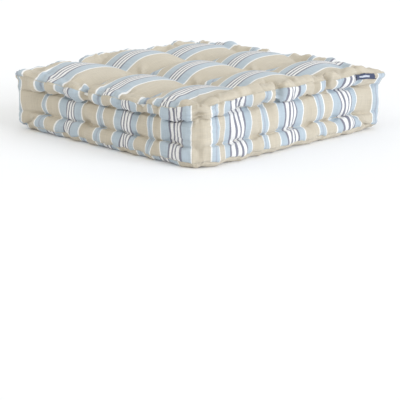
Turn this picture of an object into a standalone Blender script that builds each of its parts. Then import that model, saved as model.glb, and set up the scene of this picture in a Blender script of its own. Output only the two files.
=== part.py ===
"""Box-edged seat pad, 400 x 400 mm, 107 mm over its domes, tufted at four points and side-stitched in two rows.

Metres, +Z up. The origin is the centre of the base. The stripes of the cloth run along Y, the front is -Y.
The cover is two panels and two L-shaped border strips, seamed at two opposite corners. It holds a fibre
core between two wadding sheets. Twine ties pull the panels together at the tufts, and rows of side
stitches pinch the border into a top roll, a middle band and a bottom roll.
"""

import math

import bmesh
import bpy
from mathutils import Vector

# Outside sizes
HALF = 0.200  # half the side, over the fattest part of the rolls
HEIGHT = 0.107

# Levels of the border, from the bottom seam to the top seam
BOTTOM_SEAM = 0.007
LOWER_CREASE = 0.030
UPPER_CREASE = 0.068
TOP_SEAM = 0.088
LEVELS = (BOTTOM_SEAM, LOWER_CREASE, UPPER_CREASE, TOP_SEAM)
CREASE_DEPTH = 0.0065  # how far the creases and seams lie inside the rolls

# Corners seen from above: the border turns round two of them and is seamed at the other two
WRAPPED_RADIUS = 0.022
SEAMED_RADIUS = 0.010
CORNER_STEP = 15  # degrees
SIDE_STEPS = 8
ROWS_PER_ROLL = 6  # an even number puts a row on each roll's fattest line

# Thicknesses and clearances
COVER = 0.0012
GAP = 0.0003
WADDING = 0.008
THREAD = 0.0004  # radius of the sewing thread
TWINE = 0.0006  # radius of the tufting and side-stitching twine
CORE_CLEARANCE = 0.0018  # room between the core and the border's creases for the seams

# Panels
PANEL_HALF = HALF - CREASE_DEPTH - COVER - GAP
CELLS = 18  # a multiple of 6 puts a corner of the grid on each tuft
CELL = 2 * PANEL_HALF / CELLS
TUFT = PANEL_HALF / 3  # tufts stand at (+-TUFT, +-TUFT)
TUFT_REACH = 2 * CELL
TUFT_DEPTH = 0.026
LEG = 0.003  # each leg of a tie stands this far to a side of its tuft
TIE_LIFT = 0.0035  # height of a tie's bar over the bottom of its dimple

# Woven label, hanging from the top seam of the right side
LABEL_FROM = 0.142
LABEL_TO = 0.182
LABEL_DROP = 0.0065
LABEL_THICKNESS = 0.0005

CLOSING_HALF = 0.075  # half the length of the hand-closed opening in the back bottom seam

# Colours, as linear RGB
BEIGE = (0.56, 0.47, 0.34)
PALE_BLUE = (0.44, 0.56, 0.66)
CREAM = (0.80, 0.77, 0.70)
FIBRE = (0.90, 0.89, 0.86)
FELT = (0.78, 0.76, 0.72)
NAVY = (0.02, 0.03, 0.08)
LINEN = (0.62, 0.55, 0.42)


def clear_scene():
    for item in list(bpy.data.objects):
        bpy.data.objects.remove(item, do_unlink=True)


def collection(name):
    group = bpy.data.collections.new(name)
    bpy.context.scene.collection.children.link(group)
    return group


def material(name, colour, roughness):
    finish = bpy.data.materials.new(name)
    finish.use_nodes = True
    shader = finish.node_tree.nodes["Principled BSDF"]
    shader.inputs["Base Color"].default_value = (*colour, 1.0)
    shader.inputs["Roughness"].default_value = roughness
    shader.inputs["Metallic"].default_value = 0.0
    return finish


def place(name, data, group, parent):
    item = bpy.data.objects.new(name, data)
    item.parent = parent
    group.objects.link(item)
    return item


def mesh_from(bm, name):
    bmesh.ops.recalc_face_normals(bm, faces=bm.faces)
    mesh = bpy.data.meshes.new(name)
    bm.to_mesh(mesh)
    bm.free()
    return mesh


# The rim and the wall


def corner_point(bearing, quadrant):
    """The rim's point and outward direction at a bearing, on the corner of that quadrant."""
    turn = math.radians(bearing)
    outward = Vector((math.cos(turn), math.sin(turn), 0.0))
    middle = math.radians(90 * quadrant + 45)
    sign = Vector((math.copysign(1, math.cos(middle)), math.copysign(1, math.sin(middle)), 0.0))
    radius = SEAMED_RADIUS if sign.x * sign.y > 0 else WRAPPED_RADIUS
    return sign * (HALF - radius) + outward * radius, outward


def rim(start, end):
    """Points of the rim with their outward directions, between two bearings in degrees."""
    path = []
    for bearing in range(start, end + 1, CORNER_STEP):
        quadrant = bearing // 90
        if bearing % 90:
            path.append(corner_point(bearing, quadrant))
            continue
        before, outward = corner_point(bearing, quadrant - 1)
        after, _ = corner_point(bearing, quadrant)
        for step in range(SIDE_STEPS + 1):
            path.append((before.lerp(after, step / SIDE_STEPS), outward))
    return path


def bulge(z):
    """How far out the border stands from the rim at a height: 0 at a roll's fattest, negative at its creases."""
    for low, high in zip(LEVELS, LEVELS[1:]):
        if z <= high or high == LEVELS[-1]:
            return -CREASE_DEPTH * (1 - math.sin(math.pi * (z - low) / (high - low)))
    return 0.0


def wall_patch(path, heights, lift):
    """A sheet that follows the border's outside along a path, at a list of heights, lifted off it."""
    bm = bmesh.new()
    columns, rows = len(path) - 1, len(heights) - 1
    bmesh.ops.create_grid(bm, x_segments=columns, y_segments=rows, size=1.0)
    for vert in bm.verts:
        point, outward = path[round((vert.co.x + 1) / 2 * columns)]
        z = heights[round((vert.co.y + 1) / 2 * rows)]
        vert.co = point + outward * (bulge(z) + lift) + Vector((0.0, 0.0, z))
    return bm


def thicken(item, thickness, side):
    """Gives a sheet its thickness: side -1 is behind it, side 1 is in front."""
    solid = item.modifiers.new("thickness", "SOLIDIFY")
    solid.thickness = thickness
    solid.offset = side


def border_heights():
    heights = [
        low + (high - low) * row / ROWS_PER_ROLL
        for low, high in zip(LEVELS, LEVELS[1:])
        for row in range(ROWS_PER_ROLL)
    ]
    return heights + [TOP_SEAM]


def shortened(path, margin):
    """The same path with both its ends moved in by a margin, to leave a gap at a seam."""
    first = path[0][0].lerp(path[1][0], margin / (path[1][0] - path[0][0]).length)
    last = path[-1][0].lerp(path[-2][0], margin / (path[-2][0] - path[-1][0]).length)
    return [(first, path[0][1])] + path[1:-1] + [(last, path[-1][1])]


def border(name, start, end, colour, group, parent):
    path = shortened(rim(start, end), GAP)
    bm = wall_patch(path, border_heights(), 0.0)
    mesh = bpy.data.meshes.new(name)
    bm.to_mesh(mesh)
    bm.free()
    item = place(name, mesh, group, parent)
    thicken(item, COVER, -1)
    mesh.materials.append(material(name, colour, 0.9))
    return item


# The layers, from the bottom panel up to the top panel


def dimple(x, y):
    """1 at a tuft, falling to 0 at TUFT_REACH from it."""
    reach = math.hypot(abs(x) - TUFT, abs(y) - TUFT)
    return max(0.0, 1 - reach / TUFT_REACH) ** 2


def top_surface(x, y):
    edge = max(abs(x), abs(y)) / PANEL_HALF
    return TOP_SEAM + (HEIGHT - TOP_SEAM) * (1 - edge**4) - TUFT_DEPTH * dimple(x, y)


def bottom_surface(x, y):
    """Flat on the seat, but for the dimples and the last cell, which rises to the bottom seam."""
    last_cell = (max(abs(x), abs(y)) - PANEL_HALF + CELL) / CELL
    return BOTTOM_SEAM * max(0.0, last_cell) + TUFT_DEPTH * dimple(x, y)


def rounded(x, y, half):
    """Moves a point of the square grid inside an outline of that half size with the rim's round corners."""
    radius = (SEAMED_RADIUS if x * y > 0 else WRAPPED_RADIUS) - (HALF - half)
    past_x = min(abs(x), half) - (half - radius)
    past_y = min(abs(y), half) - (half - radius)
    if past_x > 0 and past_y > 0:
        shrink = max(past_x, past_y) / math.hypot(past_x, past_y)
        past_x, past_y = past_x * shrink, past_y * shrink
    straight = half - radius
    return math.copysign(straight + past_x, x), math.copysign(straight + past_y, y)


def layer(name, half, lower, upper, colour, group, parent):
    """A closed sheet or block between two surfaces, cut for the legs of the ties."""
    bm = bmesh.new()
    bmesh.ops.create_grid(bm, x_segments=CELLS, y_segments=CELLS, size=PANEL_HALF)
    bmesh.ops.triangulate(bm, faces=bm.faces[:], quad_method="FIXED")  # alike in every layer, so none cross
    raised = bmesh.ops.extrude_face_region(bm, geom=bm.faces[:])["geom"]
    tops = {vert for vert in raised if isinstance(vert, bmesh.types.BMVert)}
    for vert in bm.verts:
        x, y = vert.co.x, vert.co.y
        z = upper(x, y) if vert in tops else lower(x, y)
        vert.co = (*rounded(x, y, half), z)
    mesh = mesh_from(bm, name)
    mesh.materials.append(material(name, colour, 0.95))
    return place(name, mesh, group, parent)


def add_layers(group, parent):
    skin = COVER + GAP
    deep = skin + WADDING + GAP
    wadding_half = PANEL_HALF - CORE_CLEARANCE
    sheets = (
        ("bottom_panel", PANEL_HALF, 0.0, COVER, PALE_BLUE),
        ("bottom_wadding", wadding_half, skin, skin + WADDING, FELT),
    )
    layers = []
    for name, half, low, high, colour in sheets:
        layers.append(
            layer(
                name,
                half,
                lambda x, y, low=low: bottom_surface(x, y) + low,
                lambda x, y, high=high: bottom_surface(x, y) + high,
                colour,
                group,
                parent,
            )
        )
        top_name = name.replace("bottom", "top")
        layers.append(
            layer(
                top_name,
                half,
                lambda x, y, high=high: top_surface(x, y) - high,
                lambda x, y, low=low: top_surface(x, y) - low,
                colour,
                group,
                parent,
            )
        )
    core = layer(
        "fibre_core",
        wadding_half,
        lambda x, y: bottom_surface(x, y) + deep,
        lambda x, y: top_surface(x, y) - deep,
        FIBRE,
        group,
        parent,
    )
    return layers + [core]


def tie_places():
    return [(x * TUFT, y * TUFT) for y in (-1, 1) for x in (-1, 1)]


def cut_for_ties(layers, cutters):
    """Cuts the layers where the legs of the ties pass through."""
    bm = bmesh.new()
    for x, y in tie_places():
        for leg in (-LEG, LEG):
            hole = bmesh.ops.create_cone(
                bm,
                cap_ends=True,
                segments=10,
                radius1=TWINE + GAP,
                radius2=TWINE + GAP,
                depth=2 * HEIGHT,
            )
            bmesh.ops.translate(bm, verts=hole["verts"], vec=(x + leg, y, HEIGHT / 2))
    cutter = place("tie_holes", mesh_from(bm, "tie_holes"), cutters, None)
    cutter.hide_render = True
    cutter.display_type = "WIRE"
    for item in layers:
        cut = item.modifiers.new("tie holes", "BOOLEAN")
        cut.object = cutter
        cut.operation = "DIFFERENCE"
        cut.solver = "EXACT"


# Threads and twines


def strand(name, points, radius, closed, colour, group, parent, swell=None):
    """A thread along a list of points. swell gives some points a fatter radius, as a knot has."""
    curve = bpy.data.curves.new(name, "CURVE")
    curve.dimensions = "3D"
    curve.bevel_depth = radius
    curve.bevel_resolution = 1
    curve.use_fill_caps = not closed
    spline = curve.splines.new("POLY")
    spline.points.add(len(points) - 1)
    for index, point in enumerate(points):
        spline.points[index].co = (*point, 1.0)
        spline.points[index].radius = (swell or {}).get(index, 1.0)
    spline.use_cyclic_u = closed
    curve.materials.append(material(name, colour, 0.7))
    return place(name, curve, group, parent)


def add_ties(group, parent):
    """A loop of twine through the pad at each tuft, with its knot under the bottom panel."""
    top = top_surface(TUFT, TUFT) + TIE_LIFT
    bottom = bottom_surface(TUFT, TUFT) - TIE_LIFT
    bend = TWINE
    for number, (x, y) in enumerate(tie_places(), start=1):
        loop = (
            (x - LEG, y, bottom + bend),
            (x - LEG, y, top - bend),
            (x - LEG + bend, y, top),
            (x + LEG - bend, y, top),
            (x + LEG, y, top - bend),
            (x + LEG, y, bottom + bend),
            (x + LEG - bend, y, bottom),
            (x + LEG / 3, y, bottom),
            (x, y, bottom),
            (x - LEG / 3, y, bottom),
            (x - LEG + bend, y, bottom),
        )
        strand(f"tuft_tie_{number}", loop, TWINE, True, LINEN, group, parent, swell={8: 2.2})


def rim_line(path, offset, z):
    return [point + outward * offset + Vector((0.0, 0.0, z)) for point, outward in path]


def add_side_stitches(group, parent):
    """One twine for each side and row, lying in the crease that it pulls in."""
    offset = 2 * TWINE - CREASE_DEPTH + GAP / 3
    for row, z in (("lower", LOWER_CREASE), ("upper", UPPER_CREASE)):
        for side, bearing in (("right", 0), ("back", 90), ("left", 180), ("front", 270)):
            path = rim(bearing, bearing)
            strand(f"{row}_side_stitch_{side}", rim_line(path, offset, z), TWINE, False, CREAM, group, parent)


def add_seam_threads(group, parent):
    """The machine seams, on the inside of the cover, and the hand-closed stretch on its outside."""
    inside = -(CREASE_DEPTH + COVER + GAP + THREAD)
    rise = COVER + GAP + THREAD
    loop = rim(45, 405)[:-1]
    strand("top_seam_thread", rim_line(loop, inside, TOP_SEAM - rise), THREAD, True, CREAM, group, parent)
    strand("bottom_seam_thread", rim_line(loop, inside, BOTTOM_SEAM + rise), THREAD, True, CREAM, group, parent)
    for side, bearing in (("left", 225), ("right", 45)):
        point, outward = corner_point(bearing, bearing // 90)
        line = [
            point + outward * (bulge(z) - COVER - 3 * GAP - THREAD) + Vector((0.0, 0.0, z))
            for z in border_heights()[1:-1]
        ]
        strand(f"{side}_corner_seam_thread", line, THREAD, False, CREAM, group, parent)
    back = HALF - CREASE_DEPTH - COVER - GAP / 2
    z = BOTTOM_SEAM - GAP - THREAD
    closing = [(CLOSING_HALF * step / 4, back, z) for step in range(-4, 5)]
    strand("closing_stitch", closing, THREAD, False, CREAM, group, parent)


def add_label(group, parent):
    """A woven label caught in the top seam and lying on the top roll of the right side."""
    steps = 6
    path = [
        (Vector((HALF, LABEL_FROM + (LABEL_TO - LABEL_FROM) * step / steps, 0.0)), Vector((1.0, 0.0, 0.0)))
        for step in range(steps + 1)
    ]
    heights = [TOP_SEAM - LABEL_DROP * (1 - row / 3) for row in range(4)]
    bm = wall_patch(path, heights, GAP)
    mesh = bpy.data.meshes.new("woven_label")
    bm.to_mesh(mesh)
    bm.free()
    mesh.materials.append(material("woven_label", NAVY, 0.8))
    thicken(place("woven_label", mesh, group, parent), LABEL_THICKNESS, 1)


def main():
    clear_scene()
    parts = collection("seat_pad")
    cutters = collection("cutters")
    root = place("seat_pad_root", None, parts, None)
    border("border_front_right", 225, 405, BEIGE, parts, root)
    border("border_back_left", 45, 225, BEIGE, parts, root)
    cut_for_ties(add_layers(parts, root), cutters)
    add_ties(parts, root)
    add_side_stitches(parts, root)
    add_seam_threads(parts, root)
    add_label(parts, root)


main()
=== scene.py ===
import math
from collections import namedtuple

import bpy
import numpy as np
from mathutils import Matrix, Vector, noise


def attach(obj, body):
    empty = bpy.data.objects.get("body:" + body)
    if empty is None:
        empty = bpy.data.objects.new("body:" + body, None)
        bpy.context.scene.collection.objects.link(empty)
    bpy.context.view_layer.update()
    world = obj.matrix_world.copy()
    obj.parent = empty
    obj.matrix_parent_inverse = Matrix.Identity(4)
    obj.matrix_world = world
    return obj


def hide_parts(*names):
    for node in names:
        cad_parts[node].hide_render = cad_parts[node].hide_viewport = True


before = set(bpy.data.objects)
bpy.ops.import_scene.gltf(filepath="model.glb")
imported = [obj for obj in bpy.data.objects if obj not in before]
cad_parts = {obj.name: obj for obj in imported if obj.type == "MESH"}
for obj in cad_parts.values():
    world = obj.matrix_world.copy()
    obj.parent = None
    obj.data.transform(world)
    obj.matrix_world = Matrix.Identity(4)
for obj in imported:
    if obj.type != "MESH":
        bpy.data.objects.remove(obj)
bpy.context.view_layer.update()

HALF = 0.200  # half the pad's side, over its rolls

# Camera, solved from the outlines of the stacked pads
VIEW_AZIMUTH, VIEW_ELEVATION = math.radians(45.28), math.radians(15.29)
VIEW_DISTANCE = 2.247
VIEW_TARGET = Vector((0.0015, 0.0015, -0.117))
VIEW_LENS = 126.0  # millimetres

# The cloth's lattice: a box with N x N cells on each panel and M rows in the border
N, M = 88, 30
CELL = 2 * HALF / N
LOWER_ROW, UPPER_ROW = 9, 20  # rows of the two side-stitched creases
TOP, FRONT, RIGHT, BACK, LEFT, BOTTOM = range(6)
CUT_SIDE = 0.432  # side of the cut panels: the cloth is fuller than the pad
CUT_LEVELS = (0.0, 0.034, 0.074, 0.108)  # its edges and creases, up the cut border
ON_ROW = 0.01  # lattice numbers this near to a row or a side count as on it
TOUCHING, TINY = 1e-6, 1e-9  # allowances for rounding

# The stuffed pad that holds the cloth
ROLL_RADIUS = 0.013  # each roll is round about a line this far inside the pad's side
CREASE_ANGLE, SEAM_ANGLE = math.radians(77), math.radians(24)  # how far round the rolls these lie
WRAP_RISE, WRAP_REACH = math.radians(38), 0.04  # the top seam runs further in over the wrapped corners
LOWER_CREASE = 0.030
BAND_INSET, BAND_ROUNDNESS = 0.006, 0.5  # the middle band's fullest line, and the power of its curve
CREASE_INSET = 0.014
# The lower crease's depth and the lower roll's fullness: share between stitches, and how much more beside one
LOWER_CREASE_SHARES, LOWER_ROLL_SHARES = (0.6, 0.25), (0.5, 0.5)
PULL_REACH = 0.012  # how far along the side a stitch pulls
CORNER_INSET, CORNER_FADE = 0.002, 0.034  # the creases die out to this inset, this near to the corners
WRAPPED_RADIUS, SEAMED_RADIUS, LEAST_RADIUS = 0.042, 0.007, 0.001  # the two kinds of corner, in plan
# The seamed corners stand out this far at the top, and by these shares of it at these heights
EAR, EAR_REACH = 0.011, 0.03
EAR_LEVELS, EAR_LEANS = (0.0, 0.02, 0.07, 0.088), (-0.1, 0.5, 0.65, 1.0)
TUFT = 0.063  # from each tuft to both centre lines
TUFT_BOTTOM, DOME = 0.065, 0.034  # height of the cloth round a tuft, and of a dome over it
TUFT_HOLE, TUFT_HOLE_REACH = 0.006, 0.009  # how much deeper a tuft is, and how wide
DOME_POWER, OUTER_FALL = 2.4, 0.6  # the power of a dome's curve, and its fall to the outer groove
UNDER_DIMPLE, UNDER_DIMPLE_REACH = 0.016, 0.018  # depth and width of the tufts' dimples below
# How much higher than the left dome each dome stands: rows from front to back, and left to right in each
DOME_LIFTS = ((0.0, -0.002, -0.002), (0.008, 0.005, 0.001), (0.002, 0.0065, 0.002))
GROOVE = 0.183  # the domes end here, and the rolls begin
SIDE_BLEND = 0.015  # length over which the sides' values blend

# Slow drifts along the border: how far, over what length, and which noise
Wander = namedtuple("Wander", "size length seed")
LOWER_WANDER, UPPER_WANDER = Wander(0.003, 0.04, 1.0), Wander(0.0038, 0.026, 2.0)
RIM_WANDER, ROLL_WANDER = Wander(0.0032, 0.022, 3.0), Wander(0.0045, 0.017, 5.0)

Side = namedtuple("Side", "out along upper crest pinches pleats")
# Each side's outward direction and direction along it; the height of its upper crease; places along the crest
# of its top roll, and the heights there; the places of its side stitches, and of the pleats above them
SIDES = {
    FRONT: Side(
        (0, -1), (1, 0), 0.064,
        ((-0.19, -0.15, -0.05, 0.05, 0.12, 0.17), (0.093, 0.089, 0.087, 0.087, 0.089, 0.092)),
        (-0.150, -0.098, -0.048, -0.012, 0.034, 0.071, 0.113, 0.150), (-0.048, 0.080),
    ),
    RIGHT: Side(
        (1, 0), (0, 1), 0.074,
        ((-0.17, -0.15, -0.12, -0.07, -0.02, 0.04, 0.09, 0.12, 0.16, 0.19),
         (0.093, 0.098, 0.103, 0.105, 0.103, 0.104, 0.100, 0.101, 0.102, 0.097)),
        (-0.150, -0.112, -0.062, -0.022, 0.010, 0.052, 0.082, 0.112, 0.152), (-0.026, 0.084),
    ),
    BACK: Side(
        (0, 1), (1, 0), 0.068,
        ((-0.19, -0.13, -0.07, 0.00, 0.03, 0.06, 0.11, 0.14, 0.165, 0.19),
         (0.0985, 0.1035, 0.102, 0.099, 0.103, 0.105, 0.1035, 0.101, 0.097, 0.098)),
        (-0.150, -0.098, -0.040, -0.012, 0.070, 0.125), (-0.012, 0.166),
    ),
    LEFT: Side(
        (-1, 0), (0, 1), 0.066,
        ((-0.19, -0.13, -0.07, 0.00, 0.02, 0.04, 0.07, 0.10, 0.14, 0.165),
         (0.096, 0.098, 0.102, 0.1045, 0.1035, 0.099, 0.101, 0.0995, 0.103, 0.101)),
        (-0.152, -0.100, -0.046, 0.008, 0.041, 0.066, 0.120), (-0.090, 0.041),
    ),
}

# How stitches and pleats draw the cloth in: reach along the side, reach in height, and inset
Draw = namedtuple("Draw", "reach rise inset")
LOWER_DRAW, UPPER_DRAW = Draw(0.011, 0.011, 0.001), Draw(0.011, 0.013, 0.004)
PLEAT_DRAW = Draw(0.009, 0.016, 0.010)
DRAWN_SHARE = 0.35  # cloth near a stitch moves by this share of its distance from it
DRAW_DEPTH, DRAW_LIMIT = 0.022, 0.05  # how far in from the side this fades, and where it ends
PLEAT_LEVEL = 0.096  # near the top roll's crest

# How firmly the cloth is pinned along its lines, and how near to a line or a point
CREASE_HOLD, SEAM_HOLD, VALLEY_HOLD, GROOVE_HOLD, WRAPPED_HOLD = 0.9, 0.3, 0.8, 0.6, 0.3
STITCH_PIN, PLEAT_PIN, LINE_PIN, TUFT_PIN = 0.004, 0.003, 0.0026, 0.005
BORDER_DEPTH = 0.03  # points this near to a side belong to it
WRAPPED_DOME = TUFT + 0.01  # the domes at the two wrapped corners start here
RESTING_HALF = 0.185  # the underside is pinned flat as far as this

SETTLING_FRAMES = 18
CLOTH_RULES = {
    "quality": 5, "mass": 0.15, "tension_stiffness": 15, "compression_stiffness": 15, "shear_stiffness": 5,
    "bending_stiffness": 0.3, "air_damping": 1.0, "use_pressure": True, "uniform_pressure_force": 450,
    "vertex_group_mass": "pins", "pin_stiffness": 1.0,
}

# Sewn details, pressed into the simulated cloth
# Creases and seams: depth, and the rows over which it fades
CREASE_PRESS, CREASE_ROWS = 0.0064, 0.75
SEAM_PRESS, SEAM_ROWS = 0.0007, 0.9
LOWER_PRESS_SHARES, UPPER_PRESS_SHARES = (0.40, 0.40), (0.7, 0.6)  # between stitches, and more beside one
# Fine puckers beside seams and creases, soft lumps, ridges up the border, wrinkles of the near corner: depth,
# size along the border, size across it in rows, and which noise
Ripple = namedtuple("Ripple", "depth length rows seed")
FINE, SOFT = Ripple(0.0022, 0.006, 9, 0.0), Ripple(0.0048, 0.024, 8, 3.0)
RIDGE, WRINKLE = Ripple(0.0018, 0.014, 30, 7.0), Ripple(0.00396, 0.03, 1.3, 9.5)
# The fine ones fade over this distance, and these scale it on the border and the panels
FINE_REACH, FINE_ON_BORDER, FINE_ON_PANEL = 0.007, 0.7, 0.6
SOFT_PANEL_CELLS = 6  # size of the soft lumps across the panels' edges
SOFT_CELLS, WRINKLE_CELLS = 9, 7  # cells over which lumps and wrinkles fade
# Folds that run out from the tufts and over the top rolls: how many go round, and where they are deepest
FOLD_DEPTH, FOLD_REACH, FOLD_SPREAD = 0.0018, 0.016, 0.014
FOLD_COUNTS, SECOND_FOLDS = (9, 5), 0.7  # two sets, the second weaker
FOLD_TURNS = (40, 90)  # turns each place's folds differently
FOLD_INSET, FOLD_RISE = 0.004, 0.01  # the rolls' folds start this far in, and grow over this height
UNDER_ALL = -1.0  # a height below the whole pad
RIM_FOLDS = 0.42  # folds over the top rolls, against those at the tufts
# Sharp tucks across the top roll at each pleat and stitch, and at two of the lower corners
Tuck = namedtuple("Tuck", "depth width")
PLEAT_TUCK, STITCH_TUCK, CORNER_TUCK = Tuck(0.0110, 0.0034), Tuck(0.0040, 0.0035), Tuck(0.006, 0.0022)
TUCK_RISE = 0.008  # they deepen over this height above the upper crease
TUCK_END, TUCK_FADE = 0.042, 0.012  # they end this far in from the side, after fading over this
STITCH_TUCK_END, STITCH_TUCK_FADE = 0.034, 0.014
TUCK_SLANT, TUCK_SLANT_FROM = 0.10, 0.01  # they lean by this share of the way in from here
# The corner tucks: side, and where each starts and ends along it and in height
CORNER_TUCKS = ((FRONT, (-0.196, 0.003), (-0.160, 0.024)), (RIGHT, (0.150, 0.027), (0.174, 0.008)))
CORNER_TUCK_DEPTH = 0.02  # how far in from the side they reach
LOWEST = 0.0002  # clearance over the ground

CLOTH_THICKNESS = 0.0009
CORE_STEPS, CORE_STEP = 12, 0.001
WADDING_MARGIN, WADDING_THICKNESS, WADDING_DEPTH = 9, 0.005, 0.003  # the margin is in cells
TWINE_RADIUS, THREAD_RADIUS = 0.0006, 0.0004
STITCH_REACH, STITCH_RISE, TWINE_SINK = 0.004, 0.0012, 0.0004
STITCHED_HALF = 0.165  # half of a side's stitching
TIE_HALF, TIE_RISE, TIE_POINTS = 0.003, 0.0016, 9
CLOSING_HALF, CLOSING_SWAY, CLOSING_LIFT = 0.075, 0.0012, 0.0004
LABEL_FROM, LABEL_TO, LABEL_ROWS = 0.142, 0.182, 3
LABEL_LIFT, LABEL_THICKNESS = 0.0022, 0.0006
LABEL_PATCH = (0.24, 0.18)  # half of the pale patch, as shares of the label

SKY, SKY_COLOUR = 0.84, (1.0, 0.988, 0.945)
FLOOR_COLOUR, FLOOR_SIZE = (0.955, 0.965, 0.99), 60
# Soft suns: name, direction to the light, strength, spread in degrees, colour
SUNS = (
    ("key", (1.0, 0.2, 0.3), 1.95, 40, (0.93, 0.98, 1.06)),
    ("fill", (-0.6, -1.0, 0.15), 0.45, 90, (1.05, 1.0, 0.86)),
    ("overhead", (0.0, 0.0, 1.0), 0.1, 60, (0.7, 0.9, 1.3)),
)


def lattice():
    """Corner numbers (i, j, k) of the box lattice, its quads and each quad's face of the box."""
    numbers, quads, faces = {}, [], []

    def corner(i, j, k):
        return numbers.setdefault((i, j, k), len(numbers))

    for i in range(N):
        for j in range(N):
            quads.append([corner(i, j, M), corner(i + 1, j, M), corner(i + 1, j + 1, M), corner(i, j + 1, M)])
            quads.append([corner(i, j, 0), corner(i, j + 1, 0), corner(i + 1, j + 1, 0), corner(i + 1, j, 0)])
            faces += [TOP, BOTTOM]
    for s in range(N):
        for k in range(M):
            walls = (((s, 0), (s + 1, 0)), ((N, s), (N, s + 1)), ((s + 1, N), (s, N)), ((0, s + 1), (0, s)))
            for face, (a, b) in enumerate(walls, start=FRONT):
                quads.append([corner(*a, k), corner(*b, k), corner(*b, k + 1), corner(*a, k + 1)])
                faces.append(face)
    return np.array(list(numbers)), np.array(quads), np.array(faces)


def from_edge(i, j):
    """How many cells points of the lattice are from the nearest side."""
    return np.minimum.reduce([i, N - i, j, N - j])


def round_border(i, j):
    """How many cells points of the lattice are along the border, counted right round."""
    nearest = np.argmin([j, N - i, N - j, i], axis=0)
    return np.choose(nearest, [i, N + j, 3 * N - i, 4 * N - j])


def square_plan(ijk, half):
    """Points of the lattice in plan, on a square of that half size."""
    return (ijk[:, :2] / N * 2 - 1) * half


def along_side(points, side):
    """How far along a side points lie from its middle."""
    return points[:, :2] @ np.array(side.along, float)


def towards_side(points, side):
    """How far points lie from the pad's middle towards a side."""
    return points[:, :2] @ np.array(side.out, float)


def hump(distance, reach):
    """1 at no distance, falling smoothly to 0 a few reaches away."""
    return np.exp(-((distance / reach) ** 2))


def wobble(x, y, seed):
    """Smooth noise between -1 and 1."""
    places = np.column_stack([x, y, np.full_like(x, seed)])
    return np.array([noise.noise(Vector(place)) for place in places])


def drift(flat, wander):
    """Slow wandering over points of the plan."""
    x, y = flat.T / wander.length
    return wander.size * wobble(x, y, wander.seed)


def lower_crease(flat):
    """Height of the lower crease at points of the plan."""
    return LOWER_CREASE + drift(flat, LOWER_WANDER)


def blend_sides(flat, values):
    """One value for each side, blended between two sides near a corner, at points of the plan."""
    past = np.column_stack([towards_side(flat, side) - HALF for side in SIDES.values()])
    weights = np.exp(past / SIDE_BLEND)
    return (weights * np.column_stack(values)).sum(axis=1) / weights.sum(axis=1)


def upper_crease(flat):
    """Height of the upper crease at points of the plan."""
    uppers = [np.full(len(flat), side.upper) for side in SIDES.values()]
    return blend_sides(flat, uppers) + drift(flat, UPPER_WANDER)


def rim_height(flat):
    """Height of the top roll's crest at points of the plan."""
    crests = [np.interp(along_side(flat, side), *side.crest) for side in SIDES.values()]
    return blend_sides(flat, crests) + drift(flat, RIM_WANDER)


def cut_shape(ijk):
    """The cloth at its cut size, as a plain box: the simulation's rest shape."""
    height = np.interp(ijk[:, 2], (0, LOWER_ROW, UPPER_ROW, M), CUT_LEVELS)
    return np.column_stack([square_plan(ijk, CUT_SIDE / 2), height])


def rounded(flat, half):
    """Moves points of a square of that half size inside the round corners."""
    radius = np.where(flat[:, 0] * flat[:, 1] > 0, SEAMED_RADIUS, WRAPPED_RADIUS) - (HALF - half)
    radius = np.maximum(radius, LEAST_RADIUS)
    straight = (half - radius)[:, None]
    past = np.maximum(np.abs(flat) - straight, 0.0)
    length = np.maximum(np.hypot(past[:, 0], past[:, 1]), TINY)
    shrink = np.where(past.min(axis=1) > 0, past.max(axis=1) / length, 1.0)
    return np.sign(flat) * (np.minimum(np.abs(flat), straight) + past * shrink[:, None])


def stitch_pull(flat):
    """1 beside a side stitch, falling to 0 between the stitches, at points of the plan's outline."""
    pull = np.zeros(len(flat))
    for side in SIDES.values():
        on_side = towards_side(flat, side) > HALF - TOUCHING
        t = along_side(flat, side)
        for place in side.pinches:
            pull = np.maximum(pull, hump(t - place, PULL_REACH) * on_side)
    return pull


def seam_angle(flat):
    """How far round the top roll its seam lies, at points of the plan."""
    reach = np.hypot(np.abs(flat[:, 0]) - HALF, np.abs(flat[:, 1]) - HALF)
    return SEAM_ANGLE + WRAP_RISE * hump(reach, WRAP_REACH) * (flat[:, 0] * flat[:, 1] < 0)


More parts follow.
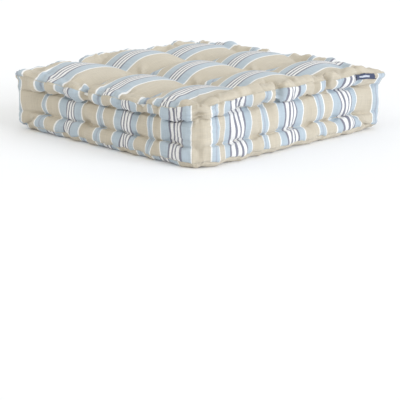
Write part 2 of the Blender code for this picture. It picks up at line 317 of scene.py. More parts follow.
def border_profile(ijk, flat):
    """How far inside the pad's side, and how high, the border's rows run."""
    k = ijk[:, 2]
    lower, upper, rim = lower_crease(flat), upper_crease(flat), rim_height(flat)
    fade = np.clip((HALF - np.abs(flat).min(axis=1)) / CORNER_FADE, 0, 1) ** 2
    low, high = k < LOWER_ROW, k > UPPER_ROW
    angle = np.interp(k, (0, LOWER_ROW), (-SEAM_ANGLE, CREASE_ANGLE))
    round_top = (k - UPPER_ROW) / (M - UPPER_ROW) * (CREASE_ANGLE + seam_angle(flat))
    angle = np.where(high, round_top - CREASE_ANGLE, angle)
    middle = np.where(high, (upper + rim) / 2, lower / 2)
    radius = np.where(high, (rim - upper) / 2, lower / 2)
    round_inset, round_z = ROLL_RADIUS * (1 - np.cos(angle)), middle + radius * np.sin(angle)
    pull = stitch_pull(flat)
    between, more = LOWER_ROLL_SHARES
    round_inset *= np.where(low & (angle > 0), between + more * pull, 1.0)
    part = np.clip((k - LOWER_ROW) / (UPPER_ROW - LOWER_ROW), 0, 1)
    between, more = LOWER_CREASE_SHARES
    crease = np.where(part < 0.5, CREASE_INSET * (between + more * pull), CREASE_INSET)
    band_inset = crease - (crease - BAND_INSET) * np.sin(np.pi * part) ** BAND_ROUNDNESS
    band_z = lower + (upper - lower) * part
    on_roll = low | high
    inset, z = np.where(on_roll, round_inset, band_inset), np.where(on_roll, round_z, band_z)
    towards_edge = np.where(high, angle > 0, angle < 0) & on_roll
    corner_inset = np.where(towards_edge, round_inset, CORNER_INSET)
    inset = corner_inset + (inset - corner_inset) * fade
    return inset + drift(flat, ROLL_WANDER) * on_roll, z


def dome_lift(x, y):
    """The domes' differences in height, blended across the valleys."""
    left, right = (np.clip(np.abs(part) / TUFT - 0.5, 0, 1) * np.sign(part) for part in (x, y))
    lift = np.zeros_like(x)
    for row, lifts in zip((-1, 0, 1), DOME_LIFTS):
        for column, value in zip((-1, 0, 1), lifts):
            lift += value * np.clip(1 - np.abs(left - column), 0, 1) * np.clip(1 - np.abs(right - row), 0, 1)
    return lift


def bump(x):
    """1 in the middle of each dome's width, falling to 0 in the valleys and to 0.4 at the outer groove."""
    out = np.abs(x)
    inner = np.abs(out / TUFT)
    outer = np.abs((2 * out - TUFT - GROOVE) / (GROOVE - TUFT))
    fall = np.where(out > (TUFT + GROOVE) / 2, OUTER_FALL, 1.0)
    return np.where(out < TUFT, 1 - inner**DOME_POWER, 1 - fall * outer**DOME_POWER)


def top_height(x, y):
    """The top panel: nine domes with valleys through the tufts, inside the round rim of the top roll."""
    flat = np.column_stack([x, y])
    rim = rim_height(flat)
    domes = TUFT_BOTTOM + DOME / 2 * (bump(x) + bump(y)) + dome_lift(x, y)
    domes -= TUFT_HOLE * hump(np.hypot(np.abs(x) - TUFT, np.abs(y) - TUFT), TUFT_HOLE_REACH)
    inset = HALF - np.maximum(np.abs(x), np.abs(y))
    radius = (rim - upper_crease(flat)) / 2
    roll = rim - radius + radius * np.sqrt(np.clip(1 - (1 - inset / ROLL_RADIUS) ** 2, 0, 1))
    return np.where(inset < ROLL_RADIUS, roll, np.maximum(roll, domes))


def under_height(x, y):
    """The bottom panel: flat on the seat, dimpled at the tufts, rising to the bottom seam at its edge."""
    reach = np.hypot(np.abs(x) - TUFT, np.abs(y) - TUFT)
    inset = np.clip((HALF - np.maximum(np.abs(x), np.abs(y))) / ROLL_RADIUS, 0, 1)
    dimples = UNDER_DIMPLE * hump(reach, UNDER_DIMPLE_REACH)
    return dimples + LOWER_CREASE / 2 * (1 - np.sqrt(1 - (1 - inset) ** 2))


def gather(points, side, places, height, draw):
    """Draws the cloth of one side towards each of the places at a height, and pulls it in there."""
    depth = HALF - towards_side(points, side)
    for place in places:
        t = along_side(points, side) - place
        pull = hump(t, draw.reach) * hump(points[:, 2] - height, draw.rise)
        pull *= hump(depth, DRAW_DEPTH) * (depth < DRAW_LIMIT)
        points[:, :2] -= np.outer(pull * DRAWN_SHARE * t, side.along) + np.outer(pull * draw.inset, side.out)


def push_ears(points):
    """Pulls the two seamed corners out at the top and in at the bottom."""
    for sign in (-1, 1):
        reach = np.hypot(points[:, 0] - sign * HALF, points[:, 1] - sign * HALF)
        lean = np.interp(points[:, 2], EAR_LEVELS, EAR_LEANS)
        points[:, :2] += (sign * EAR * hump(reach, EAR_REACH) * lean / math.sqrt(2))[:, None]


def held_shape(ijk):
    """The cloth where the pad holds it: the simulation starts here, and its pins stay here."""
    flat = square_plan(ijk, HALF)
    inset, z = border_profile(ijk, flat)
    on_wall = np.abs(flat).max(axis=1) > HALF - TOUCHING
    seam_at = np.where(ijk[:, 2] == M, seam_angle(flat), SEAM_ANGLE)
    half = HALF - np.where(on_wall, inset, ROLL_RADIUS * (1 - np.cos(seam_at)))
    plan = rounded(square_plan(ijk, 1.0) * half[:, None], half)
    held = np.column_stack([plan, z])
    panel, under = (ijk[:, 2] == M) & ~on_wall, (ijk[:, 2] == 0) & ~on_wall
    held[panel, 2] = top_height(held[panel, 0], held[panel, 1])
    held[under, 2] = under_height(held[under, 0], held[under, 1])
    for side in SIDES.values():
        gather(held, side, side.pinches, LOWER_CREASE, LOWER_DRAW)
        gather(held, side, side.pinches, side.upper, UPPER_DRAW)
        gather(held, side, side.pleats, PLEAT_LEVEL, PLEAT_DRAW)
    push_ears(held)
    return held


def pin_weights(ijk, held):
    """How firmly each point is held: 1 at stitches and tufts, less along lines, 0 where it is free."""
    weights = np.zeros(len(ijk))
    x, y, k = held[:, 0], held[:, 1], ijk[:, 2]
    top, under = k == M, k == 0
    crease = np.isin(k, (LOWER_ROW, UPPER_ROW))
    on_wall = np.isin(ijk[:, 0], (0, N)) | np.isin(ijk[:, 1], (0, N))
    weights[on_wall & crease] = CREASE_HOLD
    weights[on_wall & (top | under)] = SEAM_HOLD
    for side in SIDES.values():
        on_side = HALF - towards_side(held, side) < BORDER_DEPTH
        t = along_side(held, side)
        for place in side.pinches:
            weights[on_side & on_wall & crease & (np.abs(t - place) < STITCH_PIN)] = 1.0
        for place in side.pleats:
            weights[on_side & top & (np.abs(t - place) < PLEAT_PIN)] = 1.0
    reach = np.hypot(np.abs(x) - TUFT, np.abs(y) - TUFT)
    valley = np.minimum(np.abs(np.abs(x) - TUFT), np.abs(np.abs(y) - TUFT))
    edge = np.maximum(np.abs(x), np.abs(y))
    weights[top & (valley < LINE_PIN) & (edge < GROOVE)] = VALLEY_HOLD
    weights[top & (np.abs(edge - GROOVE) < LINE_PIN)] = GROOVE_HOLD
    wrapped_domes = (x * y < 0) & (np.minimum(np.abs(x), np.abs(y)) > WRAPPED_DOME) & (edge < GROOVE)
    weights[top & wrapped_domes] = WRAPPED_HOLD
    weights[top & (reach < TUFT_PIN)] = 1.0
    weights[under & (edge < RESTING_HALF)] = 1.0
    return weights


def cloth_object(ijk, quads, held):
    """The cloth as an object with its two shapes and its pins."""
    cut = cut_shape(ijk)
    mesh = bpy.data.meshes.new("cover_cloth")
    mesh.from_pydata(held.tolist(), [], quads.tolist())
    mesh.update(calc_edges=True)
    item = bpy.data.objects.new("cover_cloth", mesh)
    bpy.context.scene.collection.objects.link(item)
    item.shape_key_add(name="held")
    item.shape_key_add(name="cut").data.foreach_set("co", cut.ravel())
    pins = item.vertex_groups.new(name="pins")
    weights = pin_weights(ijk, held)
    for weight in np.unique(weights[weights > 0]):
        pins.add(np.flatnonzero(weights == weight).tolist(), float(weight), "REPLACE")
    return item


def simulate(item, frames):
    """Inflates the cloth from its held shape to its cut size under pressure, and returns its points."""
    cloth = item.modifiers.new("cloth", "CLOTH")
    for name, value in CLOTH_RULES.items():
        setattr(cloth.settings, name, value)
    cloth.settings.rest_shape_key = item.data.shape_keys.key_blocks["cut"]
    cloth.settings.effector_weights.gravity = 0.0
    cloth.point_cache.frame_end = frames
    for number in range(1, frames + 1):
        bpy.context.scene.frame_set(number)
    settled = item.evaluated_get(bpy.context.evaluated_depsgraph_get())
    points = np.empty(len(item.data.vertices) * 3)
    settled.data.vertices.foreach_get("co", points)
    bpy.context.scene.frame_set(1)
    bpy.data.objects.remove(item)
    return points.reshape(-1, 3)


Surface = namedtuple("Surface", "points quads ijk faces uv normals")


def refine(points, ijk, quads, faces):
    """The simulated cloth with every cell split in four and smoothed."""
    mesh = bpy.data.meshes.new("coarse")
    mesh.from_pydata(points.tolist(), [], quads.tolist())
    mesh.update(calc_edges=True)
    places = mesh.attributes.new("lattice", "FLOAT_VECTOR", "POINT")
    places.data.foreach_set("vector", ijk.astype(np.float32).ravel())
    mesh.attributes.new("face", "INT", "FACE").data.foreach_set("value", faces.astype(np.int32))
    uv = cloth_map(ijk, quads, faces).astype(np.float32)
    mesh.uv_layers.new(name="cloth").data.foreach_set("uv", uv.ravel())
    item = bpy.data.objects.new("coarse", mesh)
    bpy.context.scene.collection.objects.link(item)
    item.modifiers.new("smooth", "SUBSURF").levels = 1
    graph = bpy.context.evaluated_depsgraph_get()
    smooth = item.evaluated_get(graph)
    fine = bpy.data.meshes.new_from_object(smooth, preserve_all_data_layers=True, depsgraph=graph)
    surface = read_surface(fine)
    bpy.data.objects.remove(item)
    return surface


def read_surface(mesh):
    """The mesh and its layers as arrays."""
    count, corners = len(mesh.vertices), len(mesh.loops)
    points, normals, ijk = np.empty(count * 3), np.empty(count * 3), np.empty(count * 3)
    quads, faces, uv = np.empty(corners, int), np.empty(len(mesh.polygons), int), np.empty(corners * 2)
    mesh.vertices.foreach_get("co", points)
    mesh.vertices.foreach_get("normal", normals)
    mesh.attributes["lattice"].data.foreach_get("vector", ijk)
    mesh.loops.foreach_get("vertex_index", quads)
    mesh.attributes["face"].data.foreach_get("value", faces)
    mesh.uv_layers["cloth"].data.foreach_get("uv", uv)
    shape = (-1, 3)
    return Surface(
        points.reshape(shape), quads.reshape(-1, 4), ijk.reshape(shape), faces, uv.reshape(-1, 4, 2),
        normals.reshape(shape),
    )


def crease_depth(fade, pull, shares, from_row):
    """How deep a crease is pressed, at points some rows from it."""
    between, more = shares
    return CREASE_PRESS * fade * (between + more * pull) * np.clip(1 - from_row / CREASE_ROWS, 0, 1)


def seams(ijk):
    """How deep the seams and the side-stitched creases are pressed into the cloth."""
    i, j, k = ijk.T
    edge = from_edge(i, j)
    wall = edge < ON_ROW
    from_corner = np.maximum(np.minimum(i, N - i), np.minimum(j, N - j)) * CELL
    fade = np.clip(from_corner / CORNER_FADE, 0, 1)
    pull = stitch_pull(square_plan(ijk, HALF))
    depth = wall * crease_depth(fade, pull, LOWER_PRESS_SHARES, np.abs(k - LOWER_ROW))
    depth += wall * crease_depth(fade, pull, UPPER_PRESS_SHARES, np.abs(k - UPPER_ROW))
    from_seam = np.where(wall, np.minimum(k, M - k), edge)
    depth += SEAM_PRESS * np.clip(1 - from_seam / SEAM_ROWS, 0, 1)
    from_joint = np.minimum(i + j, 2 * N - i - j)
    return depth + wall * SEAM_PRESS * np.clip(1 - from_joint / SEAM_ROWS, 0, 1)


def ripple(kind, along, rows):
    """One kind of ripple, at points a distance along the border and so many of its rows across it."""
    return kind.depth * wobble(along / kind.length, rows, kind.seed)


def puckers(ijk):
    """Small gathers along the seams and creases, softer lumps and ridges, and the near corner's wrinkles."""
    i, j, k = ijk.T
    edge, along = from_edge(i, j), round_border(i, j) * CELL
    wall = edge < ON_ROW
    rows = np.minimum.reduce([np.abs(k - LOWER_ROW), np.abs(k - UPPER_ROW), M - k, k])
    near = hump(np.where(wall, rows * CELL * FINE_ON_BORDER, edge * CELL * FINE_ON_PANEL), FINE_REACH)
    fine = ripple(FINE, along, np.where(wall, k, edge) / FINE.rows) * near
    soft = ripple(SOFT, along, np.where(wall, k / SOFT.rows, edge / SOFT_PANEL_CELLS))
    soft *= hump(edge, SOFT_CELLS)
    ridges = ripple(RIDGE, along, k / RIDGE.rows) * wall
    near_corner = hump(np.hypot(N - i, j), WRINKLE_CELLS) * (k > LOWER_ROW)
    wrinkles = ripple(WRINKLE, along, k / WRINKLE.rows) * near_corner * wall
    return fine + soft + ridges + wrinkles


def gathered_points():
    """Points of the plan from which folds run out, how strong they are, and the height they begin at."""
    points = [(x, y, 1.0, UNDER_ALL) for x in (-TUFT, TUFT) for y in (-TUFT, TUFT)]
    for side in SIDES.values():
        for place in side.pinches + side.pleats:
            x, y = np.array(side.out) * (HALF - FOLD_INSET) + np.array(side.along) * place
            points.append((x, y, RIM_FOLDS, side.upper))
    return points


def gathered_folds(points):
    """Folds of the cloth that run into each tuft, and over the top rolls from their stitches."""
    depth = np.zeros(len(points))
    for x, y, strength, lowest in gathered_points():
        reach = np.hypot(points[:, 0] - x, points[:, 1] - y)
        turn = np.arctan2(points[:, 1] - y, points[:, 0] - x)
        folds = np.cos(FOLD_COUNTS[0] * turn + FOLD_TURNS[0] * x)
        folds += SECOND_FOLDS * np.cos(FOLD_COUNTS[1] * turn + FOLD_TURNS[1] * y)
        above = np.clip((points[:, 2] - lowest) / FOLD_RISE, 0, 1)
        depth += FOLD_DEPTH * strength * folds * hump(reach - FOLD_REACH, FOLD_SPREAD) * above
    return depth


def tuck_depth(tuck, distance):
    return tuck.depth * np.exp(-np.abs(distance) / tuck.width)


def roll_tucks(points):
    """Tucks across the top roll, at each pleat and each stitch."""
    depth = np.zeros(len(points))
    for side in SIDES.values():
        t, inset = along_side(points, side), HALF - towards_side(points, side)
        window = np.clip((points[:, 2] - side.upper) / TUCK_RISE, 0, 1)
        window *= np.clip((TUCK_END - inset) / TUCK_FADE, 0, 1)
        for place in side.pleats:
            slant = TUCK_SLANT * (inset - TUCK_SLANT_FROM)
            depth += tuck_depth(PLEAT_TUCK, t - (place + slant)) * window
        for place in side.pinches:
            fade = np.clip((STITCH_TUCK_END - inset) / STITCH_TUCK_FADE, 0, 1)
            depth += tuck_depth(STITCH_TUCK, t - place) * window * fade
    return depth


def corner_tucks(points):
    """The tucks of the border at two of the lower corners."""
    depth = np.zeros(len(points))
    for number, start, end in CORNER_TUCKS:
        side = SIDES[number]
        flat = np.column_stack([along_side(points, side), points[:, 2]])
        line = np.subtract(end, start)
        part = np.clip((flat - start) @ line / (line @ line), 0, 1)
        apart = np.linalg.norm(flat - start - np.outer(part, line), axis=1)
        on_side = HALF - towards_side(points, side) < CORNER_TUCK_DEPTH
        depth += tuck_depth(CORNER_TUCK, apart) * on_side
    return depth


def press(surface):
    """The cloth with its seams, tucks, puckers and folds."""
    ijk, points = surface.ijk, surface.points
    depth = seams(ijk) - puckers(ijk) - gathered_folds(points) + roll_tucks(points) + corner_tucks(points)
    points = points - surface.normals * depth[:, None]
    under = ijk[:, 2] < ON_ROW
    points[under, 2] = np.maximum(points[under, 2], LOWEST)
    return surface._replace(points=points)


def mesh_object(name, points, quads, finish):
    """A smooth mesh in the scene."""
    mesh = bpy.data.meshes.new(name)
    mesh.from_pydata(points.tolist(), [], quads.tolist())
    mesh.update(calc_edges=True)
    mesh.materials.append(finish)
    mesh.shade_smooth()
    item = bpy.data.objects.new(name, mesh)
    bpy.context.scene.collection.objects.link(item)
    return item


def patch(name, surface, chosen, lift, thickness, finish):
    """A piece of the cloth's surface, lifted along its normals and thickened inwards."""
    used, quads = np.unique(surface.quads[chosen], return_inverse=True)
    points = surface.points[used] + surface.normals[used] * lift
    item = mesh_object(name, points, quads.reshape(-1, 4), finish)
    layer = item.data.uv_layers.new(name="cloth")
    layer.data.foreach_set("uv", surface.uv[chosen].astype(np.float32).ravel())
    skin = item.modifiers.new("thickness", "SOLIDIFY")
    skin.thickness = thickness
    skin.offset = -1.0
    return item


def settle(item, nodes):
    """Ties a piece to its body in the frame, and hides the parts of the model that it stands for."""
    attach(item, "root")
    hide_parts(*nodes)


def add_covers(surface, finish):
    pieces = {
        "top_cloth": ((TOP,), "top_panel"),
        "bottom_cloth": ((BOTTOM,), "bottom_panel"),
        "border_cloth_front_right": ((FRONT, RIGHT), "border_front_right"),
        "border_cloth_back_left": ((BACK, LEFT), "border_back_left"),
    }
    for name, (faces, node) in pieces.items():
        item = patch(name, surface, np.isin(surface.faces, faces), 0.0, CLOTH_THICKNESS, finish)
        settle(item, (node,))


def vertex_normals(points, quads):
    """The mean direction in which the quads round each point face."""
    corners = points[quads]
    facing = np.cross(corners[:, 2] - corners[:, 0], corners[:, 3] - corners[:, 1])
    total = np.zeros_like(points)
    for a in range(4):
        np.add.at(total, quads[:, a], facing)
    return total / np.linalg.norm(total, axis=1)[:, None]


def neighbour_means(points, quads):
    """For each point, the mean of the points round it."""
    total, count = np.zeros_like(points), np.zeros(len(points))
    for a in range(4):
        np.add.at(total, quads[:, a], points[quads[:, (a + 1) % 4]] + points[quads[:, (a + 3) % 4]])
        np.add.at(count, quads[:, a], 2)
    return total / count[:, None]


def add_core(points, quads, finish):
    """The fibre core: the cloth's shape, shrunk in steps and smoothed after each, to fold over less."""
    for _ in range(CORE_STEPS):
        points = neighbour_means(points - vertex_normals(points, quads) * CORE_STEP, quads)
    item = mesh_object("fibre_filling", points, quads, finish)
    settle(item, ("fibre_core",))


def add_wadding(surface, felt):
    """The sheets of wadding between the core and the two panels."""
    i, j = surface.ijk[surface.quads].mean(axis=1)[:, :2].T
    well_in = from_edge(i, j) > WADDING_MARGIN
    for name, face in (("top_wadding", TOP), ("bottom_wadding", BOTTOM)):
        chosen = (surface.faces == face) & well_in
        item = patch(name + "_sheet", surface, chosen, -WADDING_DEPTH, WADDING_THICKNESS, felt)
        settle(item, (name,))


def tube(name, paths, radius, finish, closed=False):
    """A thread along each of the paths."""
    curve = bpy.data.curves.new(name, "CURVE")
    curve.dimensions = "3D"
    curve.bevel_depth = radius
    curve.bevel_resolution = 2
    curve.use_fill_caps = True
    for path in paths:
        spline = curve.splines.new("POLY")
        spline.points.add(len(path) - 1)
        spline.points.foreach_set("co", np.column_stack([path, np.ones(len(path))]).ravel())
        spline.use_cyclic_u = closed
    curve.materials.append(finish)
    item = bpy.data.objects.new(name, curve)
    bpy.context.scene.collection.objects.link(item)
    return item


def row_path(surface, side, row, limit):
    """Points and normals along one of the border's rows on one side, in order."""
    i, j, k = surface.ijk.T
    cells_away = {FRONT: j, RIGHT: N - i, BACK: N - j, LEFT: i}[side]
    t = along_side(surface.points, SIDES[side])
    chosen = np.flatnonzero((cells_away < ON_ROW) & (np.abs(k - row) < ON_ROW) & (np.abs(t) < limit))
    chosen = chosen[np.argsort(t[chosen])]
    return surface.points[chosen], surface.normals[chosen], t[chosen]


def add_side_stitches(surface, finish):
    """The twine in each crease, which comes out over the cloth at every stitch."""
    names = {FRONT: "front", RIGHT: "right", BACK: "back", LEFT: "left"}
    for side, facts in SIDES.items():
        for row, level in ((LOWER_ROW, "lower"), (UPPER_ROW, "upper")):
            points, normals, t = row_path(surface, side, row, STITCHED_HALF)
            out = np.zeros(len(t))
            for place in facts.pinches:
                out = np.maximum(out, hump(t - place, STITCH_REACH))
            path = points + normals * (out * STITCH_RISE - TWINE_SINK)[:, None]
            item = tube(f"{level}_stitch_{names[side]}", [path], TWINE_RADIUS, finish)
            settle(item, (f"{level}_side_stitch_{names[side]}",))


def add_seam_threads(surface, finish):
    """The machine seams: round the border's two edges, and up the two seamed corners."""
    i, j, k = surface.ijk.T
    for row, level in ((0, "bottom"), (M, "top")):
        ring = np.flatnonzero((from_edge(i, j) < ON_ROW) & (np.abs(k - row) < ON_ROW))
        ring = ring[np.argsort(round_border(i[ring], j[ring]))]
        item = tube(f"{level}_seam_stitches", [surface.points[ring]], THREAD_RADIUS, finish, closed=True)
        settle(item, (f"{level}_seam_thread",))
    for corner, name in ((0, "left"), (N, "right")):
        post = np.flatnonzero((np.abs(i - corner) < ON_ROW) & (np.abs(j - corner) < ON_ROW))
        post = post[np.argsort(k[post])]
        item = tube(f"{name}_corner_stitches", [surface.points[post]], THREAD_RADIUS, finish)
        settle(item, (f"{name}_corner_seam_thread",))


def add_closing_stitch(surface, finish):
    """The hand stitch that closes the back of the bottom seam, to and fro over it."""
    points, normals, t = row_path(surface, BACK, 0, CLOSING_HALF)
    sway = np.where(np.arange(len(t)) % 2, CLOSING_SWAY, -CLOSING_SWAY)
    path = points + normals * CLOSING_LIFT + np.outer(sway, (0, 0, 1))
    settle(tube("closing_ladder_stitch", [path], THREAD_RADIUS, finish), ("closing_stitch",))


def height_at(surface, face, x, y):
    """Height of a panel's cloth at a point of the plan."""
    used = np.unique(surface.quads[surface.faces == face])
    near = np.hypot(surface.points[used, 0] - x, surface.points[used, 1] - y)
    return surface.points[used[np.argmin(near)], 2]


def add_ties(surface, finish):
    """A loop of twine through the pad at each tuft, over the cloth above and below."""
    corners = [(x * TUFT, y * TUFT) for y in (-1, 1) for x in (-1, 1)]
    for number, (x, y) in enumerate(corners, start=1):
        top, bottom = height_at(surface, TOP, x, y), height_at(surface, BOTTOM, x, y)
        turn, same = np.linspace(0, np.pi, TIE_POINTS), np.full(TIE_POINTS, y)
        over = np.column_stack([x - TIE_HALF * np.cos(turn), same, top + TIE_RISE * np.sin(turn)])
        back = np.column_stack([x + TIE_HALF * np.cos(turn), same, bottom - TIE_RISE * np.sin(turn)])
        item = tube(f"tuft_loop_{number}", [np.concatenate([over, back])], TWINE_RADIUS, finish, closed=True)
        settle(item, (f"tuft_tie_{number}",))


def add_label(surface, finish):
    """The folded label that hangs from the top seam of the right side."""
    middle_y = surface.points[surface.quads][..., 1].mean(axis=1)
    middle_k = surface.ijk[surface.quads][..., 2].mean(axis=1)
    chosen = (surface.faces == RIGHT) & (middle_y > LABEL_FROM) & (middle_y < LABEL_TO)
    chosen &= middle_k > M - LABEL_ROWS
    item = patch("folded_label", surface, chosen, LABEL_LIFT, LABEL_THICKNESS, finish)
    corners = surface.quads[chosen]
    across = (surface.points[corners][..., 1] - LABEL_FROM) / (LABEL_TO - LABEL_FROM)
    down = (M - surface.ijk[corners][..., 2]) / LABEL_ROWS
    layer = item.data.uv_layers.new(name="label")
    layer.data.foreach_set("uv", np.stack([across, down], axis=-1).astype(np.float32).ravel())
    settle(item, ("woven_label",))


def add_camera():
    level = math.cos(VIEW_ELEVATION)
    back = Vector((math.sin(VIEW_AZIMUTH) * level, -math.cos(VIEW_AZIMUTH) * level, math.sin(VIEW_ELEVATION)))
    camera = bpy.data.objects.new("camera", bpy.data.cameras.new("camera"))
    camera.data.lens = VIEW_LENS
    camera.location = VIEW_TARGET + back * VIEW_DISTANCE
    camera.rotation_euler = (-back).to_track_quat("-Z", "Y").to_euler()
    bpy.context.scene.collection.objects.link(camera)
    bpy.context.scene.camera = camera


def add_sun(name, towards, strength, spread, colour):
    lamp = bpy.data.lights.new(name, "SUN")
    lamp.energy = strength
    lamp.angle = math.radians(spread)
    lamp.color = colour
    item = bpy.data.objects.new(name, lamp)
    item.rotation_euler = (-Vector(towards)).to_track_quat("-Z", "Y").to_euler()
    bpy.context.scene.collection.objects.link(item)


def add_studio():
    """A white sky, three soft suns and a pale floor."""
    bpy.context.scene.view_settings.view_transform = "Standard"
    world = bpy.data.worlds.new("studio")
    bpy.context.scene.world = world
    world.use_nodes = True
    sky = world.node_tree.nodes["Background"].inputs
    sky["Color"].default_value, sky["Strength"].default_value = rgba(SKY_COLOUR), SKY
    for sun in SUNS:
        add_sun(*sun)
    bpy.ops.mesh.primitive_grid_add(x_subdivisions=2, y_subdivisions=2, size=FLOOR_SIZE)
    floor = bpy.context.object
    floor.name = "floor"
    floor.data.materials.append(Finish("floor", roughness=0.9).colour(FLOOR_COLOUR).done())


class Finish:
    """A material under construction: its tree, and shorthands for adding nodes to it."""

    def __init__(self, name, roughness, sheen=0.0):
        self.item = bpy.data.materials.new(name)
        self.item.use_nodes = True
        self.tree = self.item.node_tree
        self.shader = self.tree.nodes["Principled BSDF"]
        self.shader.inputs["Roughness"].default_value = roughness
        self.shader.inputs["Sheen Weight"].default_value = sheen
        self.shader.inputs["Sheen Roughness"].default_value = 0.6

    def node(self, kind, inputs=(), **settings):
        """Adds a node; inputs are (socket, value or output) pairs."""
        node = self.tree.nodes.new("ShaderNode" + kind)
        for name, value in settings.items():
            setattr(node, name, value)
        for socket, value in inputs:
            if isinstance(value, bpy.types.NodeSocket):
                self.tree.links.new(value, node.inputs[socket])
            else:
                node.inputs[socket].default_value = value
        return node

    def math(self, operation, first, second=0.0):
        return self.node("Math", ((0, first), (1, second)), operation=operation).outputs[0]

    def mix(self, factor, first, second, blend="MIX"):
        pairs = ((0, factor), (6, rgba(first)), (7, rgba(second)))
        return self.node("Mix", pairs, data_type="RGBA", blend_type=blend).outputs[2]

    def remap(self, value, source, target):
        """Maps a value from one range to another, and clamps it there."""
        pairs = (("Value", value), (1, source[0]), (2, source[1]), (3, target[0]), (4, target[1]))
        return self.node("MapRange", pairs).outputs[0]

    def scaled(self, where, *scale):
        return self.node("Mapping", (("Vector", where), ("Scale", scale))).outputs[0]

    def noise(self, where, scale, detail=2.0):
        pairs = (("Vector", where), ("Scale", scale), ("Detail", detail))
        return self.node("TexNoise", pairs).outputs["Fac"]

    def colour(self, value):
        return self.put("Base Color", rgba(value))

    def put(self, socket, value):
        """Sets one of the shader's inputs to a value or an output."""
        if isinstance(value, bpy.types.NodeSocket):
            self.tree.links.new(value, self.shader.inputs[socket])
        else:
            self.shader.inputs[socket].default_value = value
        return self

    def bump(self, height, distance, strength=1.0):
        pairs = (("Strength", strength), ("Distance", distance), ("Height", height))
        return self.put("Normal", self.node("Bump", pairs).outputs[0])

    def done(self):
        return self.item


def rgba(value):
    """A colour with its alpha; a node's output is passed on."""
    return (*value, 1.0) if isinstance(value, tuple) and len(value) == 3 else value


# Stripes of one repeat of the cloth: width in millimetres and colour
BEIGE, WHITE, BLUE, DARK = (0.54, 0.48, 0.375), (0.82, 0.82, 0.81), (0.415, 0.50, 0.57), (0.155, 0.16, 0.22)
MIST = (0.33, 0.38, 0.46)
STRIPES = (
    (34.0, BEIGE),
    (2.2, WHITE), (5.2, BLUE), (2.4, MIST), (5.9, BLUE), (2.2, WHITE),
    (24.6, BEIGE),
    (2.4, WHITE), (16.2, BLUE),
    (2.4, DARK), (3.6, WHITE), (2.4, DARK), (3.6, WHITE), (2.4, DARK), (3.6, WHITE), (2.4, DARK),
    (13.2, BLUE), (2.4, WHITE),
)
REPEAT = sum(width for width, _ in STRIPES) / 1000


RAGGED_SCALE, RAGGEDNESS = 900.0, 0.0006  # the stripes' edges wander by threads
YARN_LONG, YARN_SHORT = 30.0, 900.0  # slubs to the metre along a yarn, and across it
YARN_RANGE, YARN_SHADES = (0.6, 1.4), (0.86, 1.08)
WEAVE, WEAVE_SHARE, WEAVE_DEPTH = 1800.0, 0.3, 0.0006  # threads to the metre, both ways
WORN_SCALE, WORN_SHARE, WORN_COLOUR = 22.0, 0.12, (0.80, 0.79, 0.76)
MOTTLED = (0.3, 0.7)  # most of the noise lies between these

# Spun yarn, felt and loose fibre: colour, strands to the metre, and depth
YARNS = {
    "fibre": ((0.86, 0.85, 0.81), 600.0, 0.0008),
    "felt": ((0.80, 0.78, 0.73), 900.0, 0.0004),
    "waxed_twine": ((0.62, 0.56, 0.44), 2500.0, 0.0002),
    "cotton_thread": ((0.66, 0.61, 0.50), 3500.0, 0.0001),
}
SHADED = 0.7  # the hollows between strands, against the strands
LABEL_NAVIES, LABEL_PALE = ((0.025, 0.035, 0.085), (0.06, 0.08, 0.15)), (0.50, 0.54, 0.62)
LABEL_THREADS, LABEL_RELIEF = 2500.0, 0.0003


def stripe_ramp(finish, across):
    """The stripes' colours over a distance across the cloth."""
    place = finish.math("FRACT", finish.math("DIVIDE", across, REPEAT))
    ramp = finish.node("ValToRGB", ((0, place),))
    ramp.color_ramp.interpolation = "CONSTANT"
    stops = ramp.color_ramp.elements
    stops.remove(stops[1])
    start = 0.0
    for number, (width, colour) in enumerate(STRIPES):
        stop = stops[0] if number == 0 else stops.new(start)
        stop.color = rgba(colour)
        start += width / 1000 / REPEAT
    return ramp.outputs["Color"]


def striped_cotton():
    """Yarn-dyed cotton: stripes along the warp, slubs, and 18 threads to the centimetre both ways."""
    finish = Finish("striped_cotton", roughness=0.88, sheen=0.25)
    cloth = finish.node("UVMap", uv_map="cloth").outputs["UV"]
    across = finish.node("SeparateXYZ", ((0, cloth),)).outputs["X"]
    ragged = finish.math("SUBTRACT", finish.noise(cloth, RAGGED_SCALE), 0.5)
    stripes = stripe_ramp(finish, finish.math("ADD", across, finish.math("MULTIPLY", ragged, RAGGEDNESS)))
    warp = finish.noise(finish.scaled(cloth, YARN_SHORT, YARN_LONG, 1.0), 1.0)
    weft = finish.noise(finish.scaled(cloth, YARN_LONG, YARN_SHORT, 1.0), 1.0)
    yarn = finish.math("ADD", warp, weft)
    shade = finish.remap(yarn, YARN_RANGE, YARN_SHADES)
    grey = finish.node("CombineColor", ((0, shade), (1, shade), (2, shade))).outputs[0]
    colour = finish.mix(1.0, stripes, grey, blend="MULTIPLY")
    worn = finish.noise(cloth, WORN_SCALE, detail=4.0)
    colour = finish.mix(finish.math("MULTIPLY", worn, WORN_SHARE), colour, WORN_COLOUR)
    threads = finish.scaled(cloth, WEAVE, WEAVE, 1.0)
    weave = finish.node("TexChecker", (("Vector", threads), ("Scale", 1.0))).outputs["Fac"]
    height = finish.math("ADD", finish.math("MULTIPLY", weave, WEAVE_SHARE), yarn)
    rough = finish.remap(worn, MOTTLED, (0.82, 0.95))
    return finish.put("Base Color", colour).put("Roughness", rough).bump(height, WEAVE_DEPTH, 0.5).done()


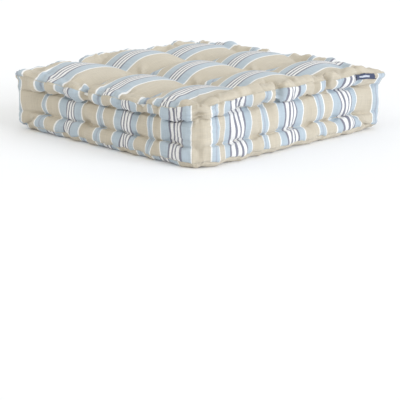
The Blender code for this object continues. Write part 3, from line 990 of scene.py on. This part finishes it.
def spun(name):
    """Spun yarn, felt or loose fibre: mottled colour and a fine bump."""
    colour, scale, depth = YARNS[name]
    finish = Finish(name, roughness=0.9, sheen=0.15)
    place = finish.node("NewGeometry").outputs["Position"]
    strands = finish.noise(place, scale, detail=5.0)
    dark = tuple(SHADED * part for part in colour)
    rough = finish.remap(strands, MOTTLED, (0.8, 0.98))
    finish.put("Base Color", finish.mix(strands, dark, colour)).put("Roughness", rough)
    return finish.bump(strands, depth).done()


def label_tape():
    """Woven navy tape with a plain pale patch in its middle."""
    finish = Finish("label_tape", roughness=0.7, sheen=0.1)
    place = finish.node("UVMap", uv_map="label").outputs["UV"]
    split = finish.node("SeparateXYZ", ((0, place),))
    signed = [finish.math("SUBTRACT", split.outputs[axis], 0.5) for axis in "XY"]
    from_middle = [finish.math("ABSOLUTE", part) for part in signed]
    inside = [finish.math("LESS_THAN", far, limit) for far, limit in zip(from_middle, LABEL_PATCH)]
    middle = finish.math("MULTIPLY", *inside)
    threads = finish.noise(finish.node("NewGeometry").outputs["Position"], LABEL_THREADS)
    colour = finish.mix(middle, finish.mix(threads, *LABEL_NAVIES), LABEL_PALE)
    rough = finish.remap(threads, (0.0, 1.0), (0.6, 0.85))
    return finish.put("Base Color", colour).put("Roughness", rough).bump(threads, LABEL_RELIEF).done()


# Places across the stripes, in metres, of the narrow groups and the trios of dark lines, which take turns:
# on a panel from its middle, and on a border strip from the left corner
Stripes = namedtuple("Stripes", "narrows trios")  # middles of the narrow groups; two outer edges of each trio
PANEL = Stripes(
    (-0.280, -0.194, -0.050, 0.079, 0.213),
    ((-0.269, -0.248), (-0.140, -0.117), (-0.005, 0.015), (0.119, 0.140), (0.241, 0.262)),
)
FRONT_RIGHT = Stripes(
    (-0.075, 0.0495, 0.186, 0.298, 0.438, 0.5415, 0.668, 0.789),
    ((-0.024, -0.004), (0.104, 0.127), (0.235, 0.259), (0.338, 0.368), (0.465, 0.501), (0.587, 0.616),
     (0.717, 0.746), (0.860, 0.882)),
)
BACK_REPEATS = [0.130 * number for number in range(7)]
BACK_LEFT = Stripes(BACK_REPEATS, [(start + 0.050, start + 0.071) for start in BACK_REPEATS])
# On the cloth, from the start of a repeat
NARROW_MIDDLE = (34.0 + 8.95) / 1000
TRIO_MIDDLE = (34.0 + 17.9 + 24.6 + 18.6 + 10.2) / 1000
TRIO_HALF = 10.2 / 1000


def across_stripes(stripes, distance):
    """Where points at a distance along the pad lie on the cloth, across its stripes."""
    narrows = NARROW_MIDDLE + REPEAT * np.arange(len(stripes.narrows))
    trios = TRIO_MIDDLE + REPEAT * np.arange(len(stripes.trios))
    on_cloth = np.sort(np.concatenate([narrows, trios - TRIO_HALF, trios + TRIO_HALF]))
    on_pad = np.sort(np.concatenate([stripes.narrows, *stripes.trios]))
    return REPEAT + np.interp(distance, on_pad, on_cloth)


def cloth_map(ijk, quads, faces):
    """Where each corner of each quad lies on the cloth, in metres: across the stripes, then along them."""
    flat, cut = square_plan(ijk, HALF)[quads], cut_shape(ijk)[quads]
    x, y = flat[..., 0], flat[..., 1]
    places = {
        TOP: (PANEL, x), BOTTOM: (PANEL, x),
        FRONT: (FRONT_RIGHT, x + HALF), RIGHT: (FRONT_RIGHT, y + 3 * HALF),
        BACK: (BACK_LEFT, HALF - x), LEFT: (BACK_LEFT, 3 * HALF - y),
    }
    u, v = np.empty_like(x), np.where(np.isin(faces, (TOP, BOTTOM))[:, None], cut[..., 1], cut[..., 2])
    for face, (stripes, distance) in places.items():
        u[faces == face] = across_stripes(stripes, distance[faces == face])
    return np.stack([u, v + 1.0], axis=-1)


ijk, quads, faces = lattice()
start = held_shape(ijk)
settled = simulate(cloth_object(ijk, quads, start), SETTLING_FRAMES)
plain = refine(settled, ijk, quads, faces)
surface = press(plain)
add_covers(surface, striped_cotton())
add_core(settled, quads, spun("fibre"))
add_wadding(plain, spun("felt"))
twine, thread = spun("waxed_twine"), spun("cotton_thread")
add_side_stitches(surface, twine)
add_ties(surface, twine)
add_seam_threads(surface, thread)
add_closing_stitch(surface, thread)
add_label(surface, label_tape())
add_camera()
add_studio()
